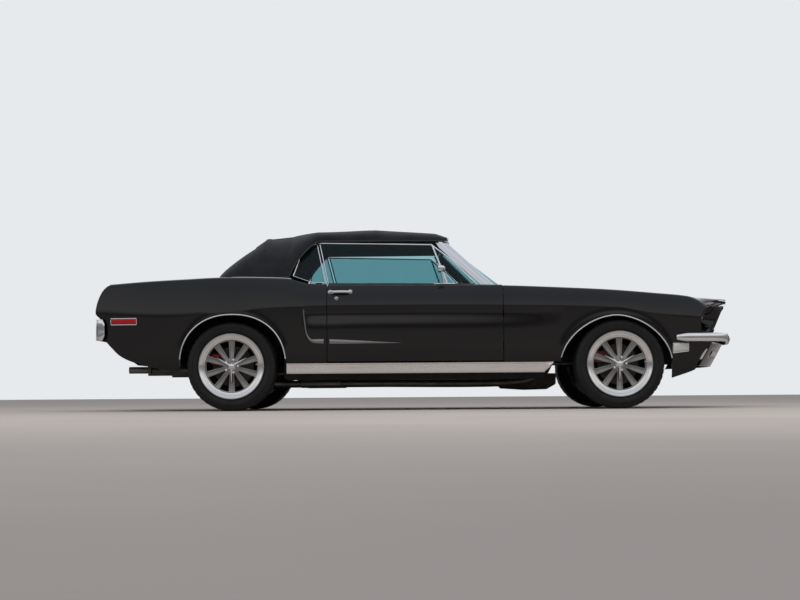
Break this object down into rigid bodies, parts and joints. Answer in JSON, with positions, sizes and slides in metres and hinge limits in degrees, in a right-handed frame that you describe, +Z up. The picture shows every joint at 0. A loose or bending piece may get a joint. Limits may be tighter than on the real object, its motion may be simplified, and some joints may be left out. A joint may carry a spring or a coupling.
{
  "type": "muscle car",
  "caption": "Two-door open-top muscle car with its fabric roof raised, chrome bumpers, spoked wheels, opening doors, hood and trunk lid, and steered front wheels.",
  "frame": {"origin": "on the ground under the middle of the car's overall box", "axes": "+X forward to the nose, +Y to the car's left, +Z up"},
  "size_m": [4.663, 1.7954, 1.3183],
  "materials": {
    "body_paint": "gloss black paint",
    "underbody": "satin black",
    "engine_block": "cast",
    "exhaust_steel": "satin",
    "dark_iron": "satin",
    "grille_black": "matte black",
    "chrome": "polished",
    "lamp_glass": "clear",
    "rocker_steel": "bright",
    "red_lens": "gloss",
    "window_glass": "clear",
    "top_fabric": "matte cloth",
    "seat_vinyl": "satin",
    "dash_vinyl": "grained",
    "wheel_plastic": "satin",
    "wheel_alloy": "polished",
    "tyre": "matte"
  },
  "bodies": {
    "body_shell": {"floor_pan": "underbody", "front_frame": "underbody", "rear_frame": "underbody", "cowl_panel": "body_paint", "front_fender_left": "body_paint", "front_fender_right": "body_paint", "nose_panel": "body_paint", "grille": "grille_black", "front_valance": "body_paint", "front_bumper": "chrome", "headlights": "lamp_glass", "rocker_panels": "rocker_steel", "quarter_panel_left": "body_paint", "quarter_panel_right": "body_paint", "deck_filler": "body_paint", "tail_panel": "body_paint", "tail_lamps": "red_lens", "rear_bumper": "chrome", "windshield_frame": "chrome", "windshield": "window_glass", "soft_top": "top_fabric", "rear_windows": "window_glass", "front_seats": "seat_vinyl", "rear_seat": "seat_vinyl", "instrument_panel": "dash_vinyl", "engine": "engine_block", "exhaust": "exhaust_steel", "rear_axle": "dark_iron", "front_suspension": "dark_iron"},
    "door_left": {"door_left": "body_paint", "door_glass_left": "window_glass", "door_mirror_left": "chrome"},
    "door_right": {"door_right": "body_paint", "door_glass_right": "window_glass", "door_mirror_right": "chrome"},
    "hood": {"hood": "body_paint"},
    "decklid": {"decklid": "body_paint"},
    "steering_wheel": {"steering_wheel": "wheel_plastic"},
    "knuckle_left": {"knuckle_left": "dark_iron"},
    "knuckle_right": {"knuckle_right": "dark_iron"},
    "wheel_front_left": {"wheel_front_left": "wheel_alloy", "tyre_front_left": "tyre"},
    "wheel_front_right": {"wheel_front_right": "wheel_alloy", "tyre_front_right": "tyre"},
    "wheel_rear_left": {"wheel_rear_left": "wheel_alloy", "tyre_rear_left": "tyre"},
    "wheel_rear_right": {"wheel_rear_right": "wheel_alloy", "tyre_rear_right": "tyre"}
  },
  "joints": [
    {"name": "door_left_hinge", "type": "hinge", "parent": "body_shell", "child": "door_left", "pos_m": [0.6385, 0.83012, 0.565], "axis": [0, 0, -1], "range_deg": [0, 65]},
    {"name": "door_right_hinge", "type": "hinge", "parent": "body_shell", "child": "door_right", "pos_m": [0.6385, -0.83012, 0.565], "axis": [0, 0, 1], "range_deg": [0, 65]},
    {"name": "hood_hinge", "type": "hinge", "parent": "body_shell", "child": "hood", "pos_m": [0.6445, 0, 0.80474], "axis": [0, -1, 0], "range_deg": [0, 50]},
    {"name": "decklid_hinge", "type": "hinge", "parent": "body_shell", "child": "decklid", "pos_m": [-1.56186, 0, 0.8825], "axis": [0, 1, 0], "range_deg": [0, 60]},
    {"name": "steer_left", "type": "hinge", "parent": "body_shell", "child": "knuckle_left", "pos_m": [1.3995, 0.66, 0.317], "axis": [0, 0, 1], "range_deg": [-30, 30]},
    {"name": "steer_right", "type": "hinge", "parent": "body_shell", "child": "knuckle_right", "pos_m": [1.3995, -0.66, 0.317], "axis": [0, 0, 1], "range_deg": [-30, 30]},
    {"name": "steering_wheel_turn", "type": "hinge", "parent": "body_shell", "child": "steering_wheel", "pos_m": [0.2485, 0.4, 0.8], "axis": [-0.9272, 0, 0.3746], "range_deg": [-480, 480]},
    {"name": "wheel_front_left_spin", "type": "hinge", "parent": "knuckle_left", "child": "wheel_front_left", "pos_m": [1.3995, 0.743, 0.317], "axis": [0, 1, 0], "continuous": true},
    {"name": "wheel_front_right_spin", "type": "hinge", "parent": "knuckle_right", "child": "wheel_front_right", "pos_m": [1.3995, -0.743, 0.317], "axis": [0, 1, 0], "continuous": true},
    {"name": "wheel_rear_left_spin", "type": "hinge", "parent": "body_shell", "child": "wheel_rear_left", "pos_m": [-1.3435, 0.743, 0.317], "axis": [0, 1, 0], "continuous": true},
    {"name": "wheel_rear_right_spin", "type": "hinge", "parent": "body_shell", "child": "wheel_rear_right", "pos_m": [-1.3435, -0.743, 0.317], "axis": [0, 1, 0], "continuous": true}
  ],
  "couplings": [
    {"joint": "steer_right", "follows": "steer_left", "ratio": 1},
    {"joint": "steering_wheel_turn", "follows": "steer_left", "ratio": 16}
  ]
}
